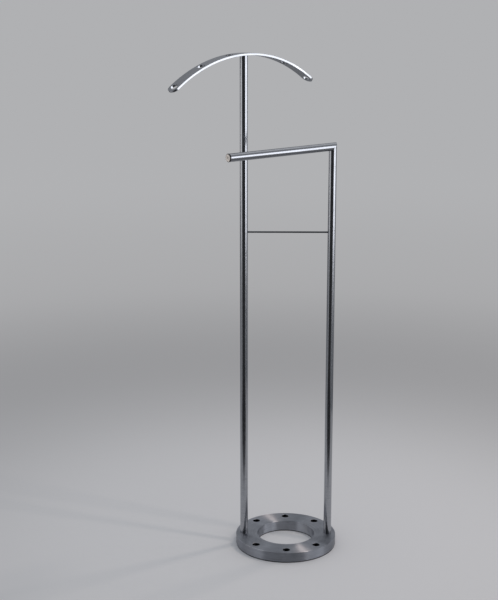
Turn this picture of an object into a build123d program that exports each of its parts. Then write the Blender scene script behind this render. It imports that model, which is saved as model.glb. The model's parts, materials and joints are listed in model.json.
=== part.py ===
# Valet stand: two stainless tubes standing in a pipe flange, with an arched hanger bar on the
# tall one and a mitred trouser bar on the short one. Millimetres, +Z up. The origin is on the
# floor at the centre of the ring, +X runs from the tall post to the short post, and the
# trouser bar reaches out towards -Y.

import os
from math import cos, degrees, radians, sin

from build123d import *

os.makedirs("parts", exist_ok=True)

# Base: a DN 125 plate flange lying on its full-face rubber gasket
gasket_thickness = 2
gasket_diameter = 248
flange_diameter = 250
flange_bore = 142
flange_thickness = 24
flange_edge = 1
bolt_circle = 210
bolt_hole = 18
bolt_hole_edge = 0.5

# Posts: both are the same tube, seated in two opposite places of the bolt circle
tube_diameter = 19
tube_wall = 1.5
post_seat_depth = 9
seat_web = 4

# Trouser bar: level, mitred onto the short post
bar_height = 1003
bar_length = 316
bar_angle = 40
cap_head = 3
cap_bevel = 1.4
cap_spigot = 12
centre_mark = 1.2

# Cross rod: held between the inner walls of the posts
rod_diameter = 4
rod_height = 798
rod_grip = 2.5

# Hanger: flat bar bent to an arc, with holes at equal angles
hanger_top = 1220
hanger_angle = 45
hanger_width = 30
hanger_thickness = 5
hanger_radius = 388
hanger_holes = 6
hanger_hole = 18
hanger_hole_pitch = 13.5
hanger_end_radius = 14.4
hanger_edge = 0.5
hanger_seat_depth = 0.2
hanger_seat_clearance = 0.2

# M8 fasteners and the plugs that they screw into
thread = 8
clearance_hole = 9
screw_head = 13
screw_head_height = 8
screw_length = 30
screw_socket = 6
screw_head_bore = 15
washer_diameter = 12.7
washer_hole = 8.2
washer_thickness = 2
washer_slit = 1.5
sink_screw_head = 16
sink_screw_length = 20
sink_screw_socket = 5
sink_screw_recess = 0.3
plug_length = 25
plug_setback = 0.5

# Levels and places that follow from those sizes
flange_top = gasket_thickness + flange_thickness
post_offset = bolt_circle / 2
post_foot = flange_top - post_seat_depth
web_underside = post_foot - seat_web
post_top = hanger_top - hanger_thickness + hanger_seat_depth
tube_bore = tube_diameter - 2 * tube_wall
tall_post_axis = Plane((-post_offset, 0, 0))
short_post_axis = Plane((post_offset, 0, 0))
under_flange = Plane(origin=(0, 0, gasket_thickness), z_dir=(0, 0, -1))

# The bar's axis leaves the short post at the corner, and the mitre halves that right angle
corner = Vector(post_offset, 0, bar_height)
bar_direction = Vector(-cos(radians(bar_angle)), -sin(radians(bar_angle)), 0)
mitre = Plane(origin=corner, z_dir=bar_direction + Vector(0, 0, 1))

# The hanger is drawn upright, about the centre of its arc, and turned about the tall post
hanger_turn = radians(hanger_angle)
hanger_frame = Plane(
    origin=(-post_offset, 0, hanger_top - hanger_radius),
    x_dir=(cos(hanger_turn), sin(hanger_turn), 0),
    z_dir=(sin(hanger_turn), -cos(hanger_turn), 0),
)


def finish(piece, name):
    """Label a finished piece and write its file."""
    piece.label = name
    export_step(piece, f"parts/{name}.step")


# ---- Base ----

with BuildPart() as base_flange:
    with BuildSketch(Plane.XY.offset(gasket_thickness)):
        Circle(flange_diameter / 2)
        Circle(flange_bore / 2, mode=Mode.SUBTRACT)
    extrude(amount=flange_thickness)
    # All the turned edges are broken but the bore's lower one, which the gasket continues
    rims = base_flange.edges().filter_by(GeomType.CIRCLE).group_by(Axis.Z)
    chamfer(rims[-1] + rims[0].sort_by(SortBy.RADIUS)[-1:], flange_edge)
    # Six bolt holes stay open, in two groups of three either side of the posts
    for first_angle in (45, 225):
        with Locations(Plane.XY.offset(flange_top)):
            with PolarLocations(bolt_circle / 2, 3, first_angle, 90, endpoint=True):
                Hole(bolt_hole / 2)
    hole_rims = base_flange.edges().filter_by(GeomType.CIRCLE).group_by(SortBy.RADIUS)[0]
    chamfer(hole_rims, bolt_hole_edge)
    # The other two are stepped: a seat for the post, a web, and a recess for the screw head
    with Locations(Plane.XY.offset(flange_top)):
        with PolarLocations(bolt_circle / 2, 2):
            CounterBoreHole(clearance_hole / 2, tube_diameter / 2, post_seat_depth)
    with Locations(under_flange):
        with PolarLocations(bolt_circle / 2, 2):
            Hole(screw_head_bore / 2, depth=web_underside - gasket_thickness)

with BuildPart() as floor_gasket:
    with BuildSketch():
        Circle(gasket_diameter / 2)
        Circle(flange_bore / 2, mode=Mode.SUBTRACT)
        with PolarLocations(bolt_circle / 2, 8):
            Circle(bolt_hole / 2, mode=Mode.SUBTRACT)
    extrude(amount=gasket_thickness)

# ---- Posts and cross rod ----

with BuildPart() as tall_post:
    with BuildSketch(tall_post_axis.offset(post_foot)):
        Circle(tube_diameter / 2)
        Circle(tube_bore / 2, mode=Mode.SUBTRACT)
    extrude(amount=post_top - post_foot)
    with BuildSketch(Plane.YZ.offset(-post_offset)):
        with Locations((0, rod_height)):
            Circle(rod_diameter / 2)
    extrude(amount=tube_diameter, mode=Mode.SUBTRACT)

with BuildPart() as short_post:
    with BuildSketch(short_post_axis.offset(post_foot)):
        Circle(tube_diameter / 2)
        Circle(tube_bore / 2, mode=Mode.SUBTRACT)
    extrude(amount=bar_height + tube_diameter - post_foot)
    split(bisect_by=mitre, keep=Keep.BOTTOM)
    with BuildSketch(Plane.YZ.offset(post_offset)):
        with Locations((0, rod_height)):
            Circle(rod_diameter / 2)
    extrude(amount=-tube_diameter, mode=Mode.SUBTRACT)

rod_length = 2 * post_offset - tube_bore + 2 * (rod_grip - tube_wall)
with BuildPart() as cross_rod:
    with BuildSketch(Plane.YZ):
        with Locations((0, rod_height)):
            Circle(rod_diameter / 2)
    extrude(amount=rod_length / 2, both=True)

# ---- Trouser bar ----

bar_start = Plane(origin=corner - bar_direction * tube_diameter, z_dir=bar_direction)
bar_tube_end = Plane(origin=corner + bar_direction * (bar_length - cap_head), z_dir=bar_direction)

with BuildPart() as trouser_bar:
    with BuildSketch(bar_start):
        Circle(tube_diameter / 2)
        Circle(tube_bore / 2, mode=Mode.SUBTRACT)
    extrude(amount=tube_diameter + bar_length - cap_head)
    split(bisect_by=mitre, keep=Keep.TOP)

with BuildPart() as trouser_bar_end_cap:
    with BuildSketch(bar_tube_end):
        Circle(tube_diameter / 2)
    extrude(amount=cap_head)
    chamfer(trouser_bar_end_cap.faces().sort_by(Axis(corner, bar_direction))[-1].edges(), cap_bevel)
    with BuildSketch(bar_tube_end):
        Circle(tube_bore / 2)
    extrude(amount=-cap_spigot)
    with Locations(bar_tube_end.offset(cap_head)):
        CounterSinkHole(centre_mark / 4, centre_mark, depth=centre_mark, counter_sink_angle=90)

# ---- Hanger ----


def drill_plane(angle):
    """Plane on the hanger's outer face at an angle from its middle, facing out."""
    turn = radians(90 - angle)
    mouth = hanger_frame.from_local_coords(
        Vector(hanger_radius * cos(turn), hanger_radius * sin(turn), 0))
    return Plane(origin=mouth, x_dir=hanger_frame.z_dir, z_dir=mouth - hanger_frame.origin)


outer_hole_angle = hanger_hole_pitch * (hanger_holes - 1) / 2
hanger_half_angle = outer_hole_angle + degrees(hanger_width / 2 / hanger_radius)
hole_angles = [hanger_hole_pitch * n - outer_hole_angle for n in range(hanger_holes)]

with BuildPart() as hanger_bar:
    with BuildSketch(hanger_frame):
        with BuildLine():
            first = 90 - hanger_half_angle
            outer = CenterArc((0, 0), hanger_radius, first, 2 * hanger_half_angle)
            inner = CenterArc((0, 0), hanger_radius - hanger_thickness, first,
                              2 * hanger_half_angle)
            Line(outer @ 0, inner @ 0)
            Line(outer @ 1, inner @ 1)
        make_face()
    extrude(amount=hanger_width / 2, both=True)
    # Rounded ends, then the long edges eased
    end_edges = [edge for edge in hanger_bar.edges().filter_by(GeomType.LINE)
                 if abs(edge.length - hanger_thickness) < 0.01]
    fillet(end_edges, hanger_end_radius)
    broad_faces = hanger_bar.faces().filter_by(GeomType.CYLINDER).sort_by(SortBy.AREA)[-2:]
    fillet(broad_faces.edges(), hanger_edge)
    for hole_angle in hole_angles:
        with Locations(drill_plane(hole_angle)):
            Hole(hanger_hole / 2, depth=2 * hanger_thickness)
    with Locations(drill_plane(0)):
        CounterSinkHole(clearance_hole / 2, sink_screw_head / 2 + sink_screw_recess,
                        depth=2 * hanger_thickness, counter_sink_angle=90)
    # Flat seat milled into the underside for the end of the post
    with BuildSketch(tall_post_axis.offset(post_top)):
        Circle(tube_diameter / 2 + hanger_seat_clearance)
    extrude(amount=-1, mode=Mode.SUBTRACT)

# ---- Plugs and fasteners ----


def post_plug(axis, bottom):
    """Threaded plug, welded into a post, from its lower face up."""
    with BuildPart() as plug:
        with BuildSketch(axis.offset(bottom)):
            Circle(tube_bore / 2)
            Circle(thread / 2, mode=Mode.SUBTRACT)
        extrude(amount=plug_length)
    return plug.part


with BuildPart() as hanger_screw:
    head_top = hanger_top - sink_screw_recess
    cone_height = (sink_screw_head - thread) / 2
    with BuildSketch(tall_post_axis.offset(head_top)):
        Circle(sink_screw_head / 2)
    extrude(amount=-cone_height, taper=45)
    with BuildSketch(tall_post_axis.offset(head_top - cone_height)):
        Circle(thread / 2)
    extrude(amount=cone_height - sink_screw_length)
    with BuildSketch(tall_post_axis.offset(head_top)):
        RegularPolygon(sink_screw_socket / 2, 6, major_radius=False)
    extrude(amount=-cone_height * 0.7, mode=Mode.SUBTRACT)

with BuildPart() as base_screws:
    head_face = web_underside - washer_thickness - screw_head_height
    with BuildSketch(Plane.XY.offset(head_face)):
        with PolarLocations(post_offset, 2):
            Circle(screw_head / 2)
    extrude(amount=screw_head_height)
    chamfer(base_screws.faces().sort_by(Axis.Z)[:2].edges(), bolt_hole_edge)
    with BuildSketch(Plane.XY.offset(head_face + screw_head_height)):
        with PolarLocations(post_offset, 2):
            Circle(thread / 2)
    extrude(amount=screw_length)
    with BuildSketch(Plane.XY.offset(head_face)):
        with PolarLocations(post_offset, 2):
            RegularPolygon(screw_socket / 2, 6, major_radius=False)
    extrude(amount=screw_head_height / 2, mode=Mode.SUBTRACT)

with BuildPart() as base_lock_washers:
    with BuildSketch(Plane.XY.offset(web_underside - washer_thickness)):
        with PolarLocations(post_offset, 2):
            Circle(washer_diameter / 2)
            Circle(washer_hole / 2, mode=Mode.SUBTRACT)
        with PolarLocations(post_offset + washer_diameter / 2, 2):
            Rectangle(washer_diameter, washer_slit, mode=Mode.SUBTRACT)
    extrude(amount=washer_thickness)

for name, piece in (
    ("base_flange", base_flange.part),
    ("floor_gasket", floor_gasket.part),
    ("tall_post", tall_post.part),
    ("short_post", short_post.part),
    ("cross_rod", cross_rod.part),
    ("trouser_bar", trouser_bar.part),
    ("trouser_bar_end_cap", trouser_bar_end_cap.part),
    ("hanger_bar", hanger_bar.part),
    ("hanger_screw", hanger_screw.part),
    ("tall_post_top_plug", post_plug(tall_post_axis, post_top - plug_setback - plug_length)),
    ("tall_post_foot_plug", post_plug(tall_post_axis, post_foot + plug_setback)),
    ("short_post_foot_plug", post_plug(short_post_axis, post_foot + plug_setback)),
    ("base_screws", base_screws.part),
    ("base_lock_washers", base_lock_washers.part),
):
    finish(piece, name)
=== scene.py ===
import json
from math import cos, pi, radians, sin

import bmesh
import bpy
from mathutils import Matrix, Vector

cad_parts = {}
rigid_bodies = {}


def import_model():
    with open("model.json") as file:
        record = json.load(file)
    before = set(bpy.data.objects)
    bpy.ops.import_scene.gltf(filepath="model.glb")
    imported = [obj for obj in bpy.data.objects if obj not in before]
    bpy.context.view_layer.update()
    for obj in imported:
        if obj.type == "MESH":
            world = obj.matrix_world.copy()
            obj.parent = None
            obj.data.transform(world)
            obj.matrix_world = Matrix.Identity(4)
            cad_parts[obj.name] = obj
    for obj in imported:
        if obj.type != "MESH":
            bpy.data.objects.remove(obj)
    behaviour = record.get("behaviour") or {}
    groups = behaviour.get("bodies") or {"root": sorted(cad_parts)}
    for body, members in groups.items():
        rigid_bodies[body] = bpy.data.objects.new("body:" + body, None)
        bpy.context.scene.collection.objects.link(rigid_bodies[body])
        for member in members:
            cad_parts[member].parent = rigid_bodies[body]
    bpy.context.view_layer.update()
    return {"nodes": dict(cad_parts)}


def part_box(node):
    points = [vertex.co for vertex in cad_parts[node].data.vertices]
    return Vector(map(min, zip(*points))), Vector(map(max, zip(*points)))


for leftOver in list(bpy.data.objects):
    bpy.data.objects.remove(leftOver)
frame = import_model()
nodes = frame["nodes"]
scene = bpy.context.scene
print("model loaded:", len(nodes), "pieces")


def middle(name):
    low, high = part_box(name)
    return (low + high) / 2


# Axes that the finishes turn about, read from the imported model
up = Vector((0, 0, 1))
ringMiddle = middle("base_flange")
tallMiddle = middle("tall_post")
shortMiddle = middle("short_post")
rodMiddle = middle("cross_rod")
capMiddle = middle("trouser_bar_end_cap")
barCorner = Vector((shortMiddle.x, shortMiddle.y, capMiddle.z))
barAxis = (capMiddle - barCorner).normalized()
hangerShape = {"radius": 0.388, "turn": radians(45)}
hangerAxis = Vector((sin(hangerShape["turn"]), -cos(hangerShape["turn"]), 0))
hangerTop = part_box("hanger_bar")[1].z
hangerMiddle = Vector((tallMiddle.x, tallMiddle.y, hangerTop - hangerShape["radius"]))


# ---- helpers for materials

def linearColour(hexText):
    channels = [int(hexText[i:i + 2], 16) / 255 for i in (1, 3, 5)]
    return [c / 12.92 if c <= 0.04045 else ((c + 0.055) / 1.055) ** 2.4 for c in channels] + [1]


# Adds one node: settings first, then its inputs, each a value or another node's output
def addNode(tree, kind, inputs=None, **settings):
    made = tree.nodes.new(kind)
    for key, value in settings.items():
        setattr(made, key, value)
    for key, value in (inputs or {}).items():
        if isinstance(value, bpy.types.NodeSocket):
            tree.links.new(value, made.inputs[key])
        else:
            made.inputs[key].default_value = value
    return made


def newMaterial(name):
    made = bpy.data.materials.new(name)
    made.use_nodes = True
    made.node_tree.nodes.clear()
    return made, made.node_tree


def dress(material, *names):
    for name in names:
        slots = nodes[name].data.materials
        slots.clear()
        slots.append(material)


# Steel worked in circles about an axis: turned, ring-brushed, or brushed along an arc.
# The marks are long around the axis and fine across it, so reflections stay sharp one way and
# smear the other. grainLong and grainFine are the marks' length and width in millimetres.
def workedSteel(name, centre, axis, finish):
    low, high = 0.3, 0.7  # the noise's usual range
    dullFrom, dullFull = 0.45, 0.75  # the clouds above this range are the handled places
    cloudShare = 0.5  # how much of the roughness spread the clouds add
    material, tree = newMaterial(name)
    place = addNode(tree, "ShaderNodeTexCoord").outputs["Object"]
    facing = addNode(tree, "ShaderNodeNewGeometry").outputs["Normal"]
    local = addNode(tree, "ShaderNodeMapping", {
        "Vector": place, "Location": centre,
        "Rotation": axis.to_track_quat("Z", "Y").to_euler(),
    }, vector_type="TEXTURE").outputs["Vector"]
    flat = addNode(tree, "ShaderNodeVectorMath", {0: local, 1: (1, 1, 0)}, operation="MULTIPLY")
    reach = addNode(tree, "ShaderNodeVectorMath", {0: flat.outputs["Vector"]}, operation="LENGTH")
    long, fine = 1000 / finish["grainLong"], 1000 / finish["grainFine"]
    stretched = addNode(tree, "ShaderNodeVectorMath", {0: local, 1: (long, long, fine)},
                        operation="MULTIPLY")
    across = addNode(tree, "ShaderNodeMath", {0: reach.outputs["Value"], 1: fine},
                     operation="MULTIPLY")
    marks = addNode(tree, "ShaderNodeTexNoise", {
        "Vector": stretched.outputs["Vector"], "W": across.outputs["Value"],
        "Scale": 1, "Detail": 4, "Roughness": 0.62,
    }, noise_dimensions="4D").outputs[0]
    clouds = addNode(tree, "ShaderNodeTexNoise", {
        "Vector": place, "Scale": 1000 / finish["cloudSize"], "Detail": 5, "Roughness": 0.6,
    }).outputs[0]
    # Base tone: lighter on the crests of the marks, a little duller where it has been handled
    crest = addNode(tree, "ShaderNodeMapRange", {
        "Value": marks, "From Min": low, "From Max": high})
    steel = addNode(tree, "ShaderNodeMix", {
        0: crest.outputs["Result"], 6: linearColour(finish["grooveColour"]),
        7: linearColour(finish["crestColour"])}, data_type="RGBA")
    handled = addNode(tree, "ShaderNodeMapRange", {
        "Value": clouds, "From Min": dullFrom, "From Max": dullFull,
        "To Max": finish["dulling"]})
    tone = addNode(tree, "ShaderNodeMix", {
        0: handled.outputs["Result"], 6: steel.outputs[2],
        7: linearColour(finish["handledColour"])}, data_type="RGBA")
    markRough = addNode(tree, "ShaderNodeMapRange", {
        "Value": marks, "From Min": low, "From Max": high,
        "To Min": finish["roughness"] + finish["roughSpread"],
        "To Max": finish["roughness"] - finish["roughSpread"]})
    cloudRough = addNode(tree, "ShaderNodeMapRange", {
        "Value": clouds, "From Min": low, "From Max": high,
        "To Min": -cloudShare * finish["roughSpread"],
        "To Max": cloudShare * finish["roughSpread"]})
    rough = addNode(tree, "ShaderNodeMath", {
        0: markRough.outputs["Result"], 1: cloudRough.outputs["Result"]}, operation="ADD")
    relief = addNode(tree, "ShaderNodeBump", {
        "Height": marks, "Strength": finish["relief"], "Distance": finish["depth"] / 1000})
    # Direction across the marks, which is the way that the reflection smears
    arm = addNode(tree, "ShaderNodeVectorMath", {0: place, 1: centre}, operation="SUBTRACT")
    roundAxis = addNode(tree, "ShaderNodeVectorMath", {0: axis, 1: arm.outputs["Vector"]},
                        operation="CROSS_PRODUCT")
    smear = addNode(tree, "ShaderNodeVectorMath", {0: roundAxis.outputs["Vector"], 1: facing},
                    operation="CROSS_PRODUCT")
    smearWay = addNode(tree, "ShaderNodeVectorMath", {0: smear.outputs["Vector"]},
                       operation="NORMALIZE")
    shader = addNode(tree, "ShaderNodeBsdfPrincipled", {
        "Base Color": tone.outputs[2], "Metallic": 1.0, "Roughness": rough.outputs["Value"],
        "Anisotropic": finish["anisotropy"], "Tangent": smearWay.outputs["Vector"],
        "Normal": relief.outputs["Normal"]})
    addNode(tree, "ShaderNodeOutputMaterial", {"Surface": shader.outputs["BSDF"]})
    return material, tree, facing, rough, shader


# ---- base

# Turned carbon steel, faced and skimmed on a lathe: fine rings, fans of light across the face
flangeFinish = {
    "crestColour": "#c6c9d0", "grooveColour": "#a4a7af", "handledColour": "#90939a",
    "dulling": 0.5, "roughness": 0.37, "roughSpread": 0.05, "anisotropy": 1.0,
    "grainLong": 60, "grainFine": 0.9, "cloudSize": 45, "relief": 0.3, "depth": 0.012,
}
flangeSteel, tree, facing, rough, shader = workedSteel(
    "turnedFlangeSteel", ringMiddle, up, flangeFinish)
# The bolt holes are painted dark, as painted shade: everything between the bore and the rim that
# doesn't face up, so the hidden underside there too. The outer rim is painted a little darker
# than the faces, as painted shade on the side
holeAndRimShade = {"inside": 0.09, "outside": 0.1175, "colour": "#2b2c2e", "rimShadeColour": "#dadbdd",
           "uprightBelow": 0.5}
place = addNode(tree, "ShaderNodeTexCoord").outputs["Object"]
flat = addNode(tree, "ShaderNodeVectorMath", {0: place, 1: (1, 1, 0)}, operation="MULTIPLY")
reach = addNode(tree, "ShaderNodeVectorMath", {0: flat.outputs["Vector"]}, operation="LENGTH")
beyondBore = addNode(tree, "ShaderNodeMath", {
    0: reach.outputs["Value"], 1: holeAndRimShade["inside"]}, operation="GREATER_THAN")
withinRim = addNode(tree, "ShaderNodeMath", {
    0: reach.outputs["Value"], 1: holeAndRimShade["outside"]}, operation="LESS_THAN")
steepness = addNode(tree, "ShaderNodeVectorMath", {0: facing, 1: up}, operation="DOT_PRODUCT")
upright = addNode(tree, "ShaderNodeMath", {
    0: steepness.outputs["Value"], 1: holeAndRimShade["uprightBelow"]}, operation="LESS_THAN")
band = addNode(tree, "ShaderNodeMath", {0: beyondBore.outputs[0], 1: withinRim.outputs[0]},
               operation="MULTIPLY")
holeShadeMask = addNode(tree, "ShaderNodeMath", {0: band.outputs[0], 1: upright.outputs[0]},
                 operation="MULTIPLY")
# Painted shade: hole walls and the underside between bore and rim take the dark colour
holeShadeTone = addNode(tree, "ShaderNodeMix", {
    0: holeShadeMask.outputs[0], 6: shader.inputs["Base Color"].links[0].from_socket,
    7: linearColour(holeAndRimShade["colour"])}, data_type="RGBA")
# Painted shade: the outer rim's side wall is multiplied darker than the faces
rimShadeMask = addNode(tree, "ShaderNodeMath", {0: upright.outputs[0], 1: withinRim.outputs[0]},
                operation="SUBTRACT", use_clamp=True)
rimShadeTone = addNode(tree, "ShaderNodeMix", {
    0: rimShadeMask.outputs[0], 6: holeShadeTone.outputs[2], 7: linearColour(holeAndRimShade["rimShadeColour"])},
    data_type="RGBA", blend_type="MULTIPLY")
tree.links.new(rimShadeTone.outputs[2], shader.inputs["Base Color"])
dress(flangeSteel, "base_flange")

# Sheet rubber, moulded and cut: black, dry, a fine cloth-like grain and a little floor dust
gasketFinish = {"colour": "#141516", "roughness": 0.82, "roughSpread": 0.08, "grain": 0.7,
                "relief": 0.6, "depth": 0.05, "dust": "#3b3a38", "dustScale": 60,
                "dustFrom": 0.5, "dustTo": 0.8, "mostDust": 0.5}
rubber, tree = newMaterial("blackSheetRubber")
place = addNode(tree, "ShaderNodeTexCoord").outputs["Object"]
grain = addNode(tree, "ShaderNodeTexNoise", {
    "Vector": place, "Scale": 1000 / gasketFinish["grain"], "Detail": 3}).outputs[0]
dusting = addNode(tree, "ShaderNodeTexNoise", {
    "Vector": place, "Scale": gasketFinish["dustScale"], "Detail": 6}).outputs[0]
dusted = addNode(tree, "ShaderNodeMapRange", {
    "Value": dusting, "From Min": gasketFinish["dustFrom"], "From Max": gasketFinish["dustTo"],
    "To Max": gasketFinish["mostDust"]})
tone = addNode(tree, "ShaderNodeMix", {
    0: dusted.outputs["Result"], 6: linearColour(gasketFinish["colour"]),
    7: linearColour(gasketFinish["dust"])}, data_type="RGBA")
relief = addNode(tree, "ShaderNodeBump", {
    "Height": grain, "Strength": gasketFinish["relief"],
    "Distance": gasketFinish["depth"] / 1000})
rough = addNode(tree, "ShaderNodeMapRange", {
    "Value": grain, "To Min": gasketFinish["roughness"] - gasketFinish["roughSpread"],
    "To Max": gasketFinish["roughness"] + gasketFinish["roughSpread"]})
shader = addNode(tree, "ShaderNodeBsdfPrincipled", {
    "Base Color": tone.outputs[2], "Roughness": rough.outputs["Result"],
    "Normal": relief.outputs["Normal"]})
addNode(tree, "ShaderNodeOutputMaterial", {"Surface": shader.outputs["BSDF"]})
dress(rubber, "floor_gasket")
print("base dressed")

# ---- tubes and rod

# Stainless tube, ring-brushed on a belt machine: crisp streaks along it, soft lengthwise.
# Real belt marks are some 0.05 mm wide: here and on the other pieces they are drawn coarser,
# so that they still show
tubeFinish = {
    "crestColour": "#b3b5ba", "grooveColour": "#9fa1a6", "handledColour": "#94969a",
    "dulling": 0.3, "roughness": 0.14, "roughSpread": 0.03, "anisotropy": 0.9,
    "grainLong": 14, "grainFine": 0.6, "cloudSize": 60, "relief": 0.2, "depth": 0.003,
}
dress(workedSteel("ringBrushedTallTube", tallMiddle, up, tubeFinish)[0], "tall_post")
dress(workedSteel("ringBrushedShortTube", shortMiddle, up, tubeFinish)[0], "short_post")
dress(workedSteel("ringBrushedBarTube", barCorner, barAxis, tubeFinish)[0], "trouser_bar")

# Drawn rod, ground between rollers and left dull (rougher than the tubes); its colour is set
# darker than the tubes', as painted shade
rodFinishWithPaintedShade = dict(tubeFinish, crestColour="#6a6e73", grooveColour="#565a5f", grainLong=6,
                 grainFine=0.4, roughness=0.24)
dress(workedSteel("groundRodSteel", rodMiddle, Vector((1, 0, 0)), rodFinishWithPaintedShade)[0], "cross_rod")

# End cap, faced on a lathe: concentric rings round the centre mark; its bevel and everything else
# that doesn't face along the bar is painted dark, as painted shade
capFinish = dict(tubeFinish, crestColour="#c9c6c4", grooveColour="#9d9a98", roughness=0.30,
                 roughSpread=0.06, grainLong=10, grainFine=1.4, relief=0.4, depth=0.01,
                 bevelShadeColour="#5c5b5c", faceFrom=0.8, faceFull=0.95)
capSteel, tree, facing, rough, shader = workedSteel(
    "facedCapSteel", barCorner, barAxis, capFinish)
squareness = addNode(tree, "ShaderNodeVectorMath", {0: facing, 1: barAxis},
                     operation="DOT_PRODUCT")
onFace = addNode(tree, "ShaderNodeMapRange", {
    "Value": squareness.outputs["Value"], "From Min": capFinish["faceFrom"],
    "From Max": capFinish["faceFull"]})
# Painted shade: away from the flat face the colour goes dark
capShadeTone = addNode(tree, "ShaderNodeMix", {
    0: onFace.outputs["Result"], 6: linearColour(capFinish["bevelShadeColour"]),
    7: shader.inputs["Base Color"].links[0].from_socket}, data_type="RGBA")
tree.links.new(capShadeTone.outputs[2], shader.inputs["Base Color"])
dress(capSteel, "trouser_bar_end_cap")
print("tubes dressed")

# ---- hanger

# Flat stainless bar, brushed along its broad faces, with its narrow edges polished bright
hangerFinish = {
    "crestColour": "#bfc1c5", "grooveColour": "#a2a4a9", "handledColour": "#8f9195",
    "dulling": 0.35, "roughness": 0.33, "roughSpread": 0.06, "anisotropy": 0.75,
    "grainLong": 30, "grainFine": 0.6, "cloudSize": 50, "relief": 0.2, "depth": 0.004,
    "edgeRoughness": 0.10, "edgeFrom": 0.55, "edgeFull": 0.95,
}
hangerSteel, tree, facing, rough, shader = workedSteel(
    "brushedBarSteel", hangerMiddle, hangerAxis, hangerFinish)
sideways = addNode(tree, "ShaderNodeVectorMath", {0: facing, 1: hangerAxis},
                   operation="DOT_PRODUCT")
either = addNode(tree, "ShaderNodeMath", {0: sideways.outputs["Value"]}, operation="ABSOLUTE")
onEdge = addNode(tree, "ShaderNodeMapRange", {
    "Value": either.outputs["Value"], "From Min": hangerFinish["edgeFrom"],
    "From Max": hangerFinish["edgeFull"]})
edgeRough = addNode(tree, "ShaderNodeMath", {
    0: rough.outputs["Value"], 1: hangerFinish["edgeRoughness"] / hangerFinish["roughness"]},
    operation="MULTIPLY")
bothRough = addNode(tree, "ShaderNodeMix", {
    0: onEdge.outputs["Result"], 2: rough.outputs["Value"], 3: edgeRough.outputs["Value"]})
tree.links.new(bothRough.outputs[0], shader.inputs["Roughness"])
dress(hangerSteel, "hanger_bar")
print("hanger dressed")

# ---- fixings

# Turned stainless screws, plugs and spring washers
fixingFinish = dict(tubeFinish, crestColour="#b7b8ba", grooveColour="#98999c", roughness=0.30,
                    grainLong=8, grainFine=0.4)
for name in ("hanger_screw", "tall_post_top_plug", "tall_post_foot_plug"):
    dress(workedSteel("turnedSteel_" + name, tallMiddle, up, fixingFinish)[0], name)
dress(workedSteel("turnedSteel_short_post_foot_plug", shortMiddle, up, fixingFinish)[0],
      "short_post_foot_plug")
dress(workedSteel("turnedSteel_base_fixings", ringMiddle, up, fixingFinish)[0],
      "base_screws", "base_lock_washers")
print("fixings dressed")

# ---- stage

# Pale paper on the floor. Its tone dips a little round the stand, a band of painted shade, and
# lifts again far away, where it meets the air's colour: shares of full white, by metres from the
# stand
floorLook = {
    "size": 160, "reach": 6, "tint": (0.96, 0.992, 1.04), "tintReach": 3,
    "tones": {0.3: 0.885, 0.66: 0.88, 1.05: 0.735, 1.5: 0.62, 2.07: 0.69,
              2.77: 0.88, 3.7: 0.92, 4.9: 0.98, 6.0: 1.0},
}
paper, tree = newMaterial("palePaperFloor")
place = addNode(tree, "ShaderNodeTexCoord").outputs["Object"]
away = addNode(tree, "ShaderNodeVectorMath", {0: place}, operation="LENGTH")
share = addNode(tree, "ShaderNodeMapRange", {
    "Value": away.outputs["Value"], "From Max": floorLook["reach"]})
# Painted shade: the ramp's dip between about 1 and 2 metres from the stand
tone = addNode(tree, "ShaderNodeValToRGB", {0: share.outputs["Result"]})
ramp = tone.color_ramp
ramp.interpolation = "B_SPLINE"
while len(ramp.elements) < len(floorLook["tones"]):
    ramp.elements.new(0.5)
for stop, (metres, grey) in zip(ramp.elements, floorLook["tones"].items()):
    stop.position = metres / floorLook["reach"]
    near = max(0, 1 - metres / floorLook["tintReach"])  # the tint fades out with distance
    stop.color = [grey * (1 + near * (part - 1)) for part in floorLook["tint"]] + [1]
shader = addNode(tree, "ShaderNodeBsdfDiffuse", {"Color": tone.outputs["Color"]})
addNode(tree, "ShaderNodeOutputMaterial", {"Surface": shader.outputs["BSDF"]})


# A flat sheet facing along a direction, kept out of the model
def stageSheet(name, place, towards, width, height, material):
    mesh = bpy.data.meshes.new(name)
    bm = bmesh.new()
    bmesh.ops.create_grid(bm, x_segments=1, y_segments=1, size=0.5)
    bmesh.ops.scale(bm, vec=(width, height, 1), verts=bm.verts)
    bmesh.ops.rotate(bm, matrix=Vector(towards).to_track_quat("Z", "Y").to_matrix(),
                     verts=bm.verts)
    bmesh.ops.translate(bm, vec=place, verts=bm.verts)
    bm.to_mesh(mesh)
    bm.free()
    mesh.materials.append(material)
    sheet = bpy.data.objects.new(name, mesh)
    scene.collection.objects.link(sheet)
    return sheet


stageSheet("paperFloor", (0, 0, 0), (0, 0, 1), floorLook["size"], floorLook["size"], paper)


# Flags show only in reflections, which they darken. The dark ones are in front of the stand,
# the dim ones at its sides, behind it and above it
flags = {
    "darkFront": {"place": (-0.24, -1.25, 1.4), "towards": (0, 1, 0), "width": 2.43,
                  "height": 2.8, "grey": 0.042},
    "darkFrontFloor": {"place": (-0.1, -0.86, 0.003), "towards": (0, 0, 1), "width": 1.9,
                       "height": 0.78, "grey": 0.03},
    "dimLeft": {"place": (-2.0, 0.35, 1.2), "towards": (1, 0, 0), "width": 1.1,
                "height": 2.4, "grey": 0.17},
    "dimRight": {"place": (0.8, -0.2, 0.3), "towards": (0, 0, 1), "width": 1.1,
                 "height": 1.1, "grey": 0.2},
    "dimBack": {"place": (0, 1.9, 0.32), "towards": (0, -1, 0), "width": 5,
                "height": 0.64, "grey": 0.22},
    "dimBackFloor": {"place": (0, 1.3, 0.003), "towards": (0, 0, 1), "width": 4,
                     "height": 1.2, "grey": 0.24},
    "dimCeiling": {"place": (0, 0, 3.2), "towards": (0, 0, -1), "width": 24,
                   "height": 24, "grey": 0.36},
}
flagTint = (0.97, 1, 1.06)
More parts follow.
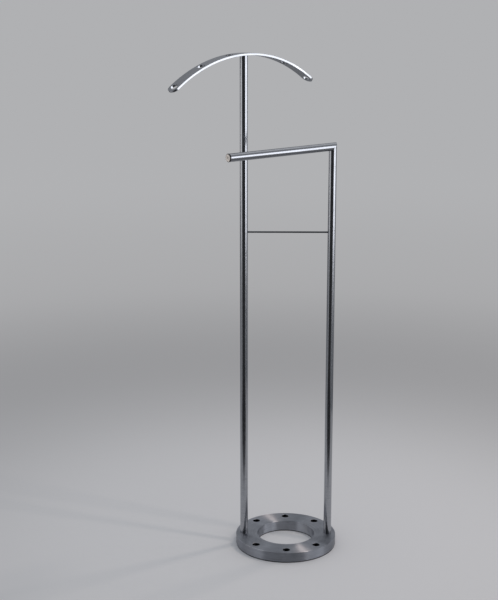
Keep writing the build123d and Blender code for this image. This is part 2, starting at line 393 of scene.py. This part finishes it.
for name, flag in flags.items():
    cloth, tree = newMaterial(name + "Cloth")
    glow = addNode(tree, "ShaderNodeEmission", {
        "Color": [part * flag["grey"] for part in flagTint] + [1], "Strength": 1})
    addNode(tree, "ShaderNodeOutputMaterial", {"Surface": glow.outputs["Emission"]})
    sheet = stageSheet(name, flag["place"], flag["towards"], flag["width"], flag["height"], cloth)
    sheet.visible_camera = False
    sheet.visible_diffuse = False
    sheet.visible_shadow = False
    sheet.visible_transmission = False
    sheet.visible_volume_scatter = False
print("stage set")

# ---- lights

lamps = {
    "sideSoftbox": {"place": (1.95, -0.75, 1.08), "aim": (0, 0, 0.84), "width": 2.0,
                    "height": 1.45, "watts": 18.4, "colour": "#f8faff"},
    "sideCard": {"place": (2.3, 0.42, 1.2), "aim": (0, 0, 0.9), "width": 0.55,
                 "height": 0.7, "watts": 2.2, "colour": "#f8faff"},
    "leftCard": {"place": (-1.97, -0.72, 1.25), "aim": (0, 0, 0.95), "width": 1.25,
                 "height": 1.9, "watts": 4.6, "colour": "#ffffff"},
    "smallLeftCard": {"place": (-1.95, 0.16, 0.8), "aim": (0, 0, 0.9), "width": 0.42,
                      "height": 0.5, "watts": 0.9, "colour": "#fff8f2"},
    "topSoftbox": {"place": (0.45, -0.25, 2.6), "aim": (0, 0, 0.9), "width": 0.9,
                   "height": 0.9, "watts": 1.6, "colour": "#ffffff"},
    # Two cards that light only the bar: one its upper side, one the side that faces away
    "overBarCard": {"place": (0.93, 1.03, 2.98), "aim": (0, 0, 0.98), "width": 1.5,
                    "height": 1.5, "watts": 2.7, "colour": "#ffffff", "only": "bar"},
    "farSideBarCard": {"place": (-0.2, -1.15, 1.0), "aim": (0, -0.1, 1.0), "width": 0.6,
                       "height": 1.0, "watts": 1.7, "colour": "#ffffff", "only": "bar"},
    # Two small lamps that only rake the base and the floor
    "backTopLamp": {"place": (0.72, 0.51, 2.44), "aim": (0, 0, 0), "width": 0.14,
                    "height": 0.14, "watts": 4.4, "colour": "#ffede0", "only": "baseAndFloor"},
    "frontTopLamp": {"place": (1.27, -0.5, 2.13), "aim": (0, 0, 0), "width": 0.14,
                     "height": 0.14, "watts": 4.4, "colour": "#ffede0", "only": "baseAndFloor"},
}
# What each lamp falls on: most light only the stand, and the air lights the floor evenly
lampReach = {"stand": list(nodes), "bar": ["trouser_bar"],
             "baseAndFloor": ["base_flange", "floor_gasket", "paperFloor"]}
for name, members in lampReach.items():
    reached = bpy.data.collections.new(name)
    for member in members:
        reached.objects.link(bpy.data.objects[member])
for name, lamp in lamps.items():
    light = bpy.data.lights.new(name, "AREA")
    light.shape = "RECTANGLE"
    light.size = lamp["width"]
    light.size_y = lamp["height"]
    light.energy = lamp["watts"]
    light.color = linearColour(lamp["colour"])[:3]
    holder = bpy.data.objects.new(name, light)
    holder.location = lamp["place"]
    way = Vector(lamp["aim"]) - Vector(lamp["place"])
    holder.rotation_euler = way.to_track_quat("-Z", "Y").to_euler()
    holder.visible_camera = False
    reached = bpy.data.collections[lamp.get("only", "stand")]
    holder.light_linking.receiver_collection = reached
    scene.collection.objects.link(holder)

studioAir = {"colour": (0.436, 0.440, 0.452, 1)}
world = bpy.data.worlds.new("paleStudio")
world.use_nodes = True
world.node_tree.nodes["Background"].inputs["Color"].default_value = studioAir["colour"]
scene.world = world
print("lights set")

# ---- camera

cameraLook = {"place": (-0.05459, -3.14926, 1.40010), "tilt": 0.23967, "turn": 0.01209,
              "lens": 80.285, "sensor": 36, "farthest": 400}
eye = bpy.data.cameras.new("studioCamera")
eye.lens = cameraLook["lens"]
eye.sensor_width = cameraLook["sensor"]
eye.clip_end = cameraLook["farthest"]
cameraHolder = bpy.data.objects.new("studioCamera", eye)
cameraHolder.location = cameraLook["place"]
cameraHolder.rotation_euler = (pi / 2 - cameraLook["tilt"], 0, cameraLook["turn"])
scene.collection.objects.link(cameraHolder)
scene.camera = cameraHolder
scene.view_settings.view_transform = "Standard"
print("camera set")
